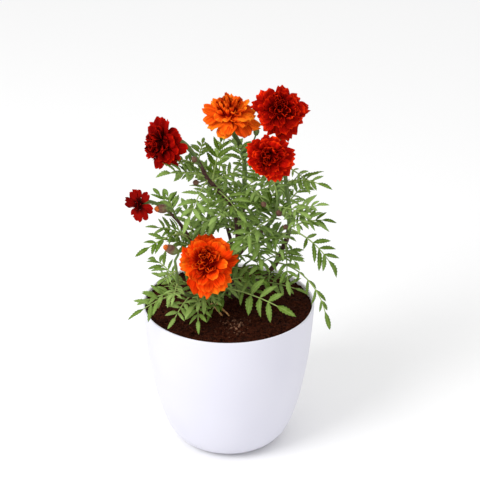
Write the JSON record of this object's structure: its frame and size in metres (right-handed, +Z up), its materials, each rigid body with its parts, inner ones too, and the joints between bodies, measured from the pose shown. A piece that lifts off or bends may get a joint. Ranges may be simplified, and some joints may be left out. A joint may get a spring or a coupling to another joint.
{
  "type": "potted french marigold",
  "caption": "French marigold with red and orange double blooms and cut leaves, growing in a white rounded pot filled with soil.",
  "frame": {"origin": "centre of the pot's flat underside, on the surface that it stands on", "axes": "+Z up along the plant, -Y towards its front as the picture shows it, +X to its right"},
  "size_m": [0.1841, 0.1654, 0.3366],
  "materials": {
    "pot_white": "satin white, very slightly lavender in the shade",
    "soil_brown": "dark brown crumbly peat",
    "dried_root": "dry tan root",
    "bark": "purple-brown woody stem",
    "leaf_green": "matt green leaves on stems that are purple-brown low down",
    "cup_green": "smooth green, ribbed lengthwise",
    "bud_dark": "dark purple-brown bud",
    "petal_dark_red": "velvety dark red petals",
    "petal_orange": "velvety orange petals with a deep red heart",
    "petal_orange_red": "velvety orange-red petals with a deep red heart"
  },
  "bodies": {
    "root": {"pot": "pot_white", "soil": "soil_brown", "main_stem": "bark", "dried_root_1": "dried_root", "dried_root_2": "dried_root", "leafy_stem_left": "leaf_green", "leafy_stem_top": "leaf_green", "leafy_stem_middle": "leaf_green", "leafy_stem_right": "leaf_green", "leafy_stem_front": "leaf_green", "leafy_stem_far_left": "leaf_green", "leafy_stem_low_left": "leaf_green", "leafy_stem_back": "leaf_green", "leafy_stem_back_right": "leaf_green", "flower_cup_left": "cup_green", "flower_cup_top": "cup_green", "flower_cup_right": "cup_green", "flower_cup_middle": "cup_green", "flower_cup_front": "cup_green", "flower_cup_far_left": "cup_green", "flower_head_left": "petal_dark_red", "flower_head_top": "petal_orange", "flower_head_right": "petal_dark_red", "flower_head_middle": "petal_dark_red", "flower_head_front": "petal_orange_red", "flower_head_far_left": "petal_dark_red", "bud_left_cup": "cup_green", "bud_left_tip": "petal_orange_red", "bud_low_cup": "cup_green", "bud_low_tip": "petal_orange_red", "small_bud_1": "bud_dark", "small_bud_2": "bud_dark", "small_bud_3": "bud_dark", "small_bud_4": "bud_dark", "small_bud_5": "bud_dark", "small_bud_6": "bud_dark"}
  },
  "joints": []
}
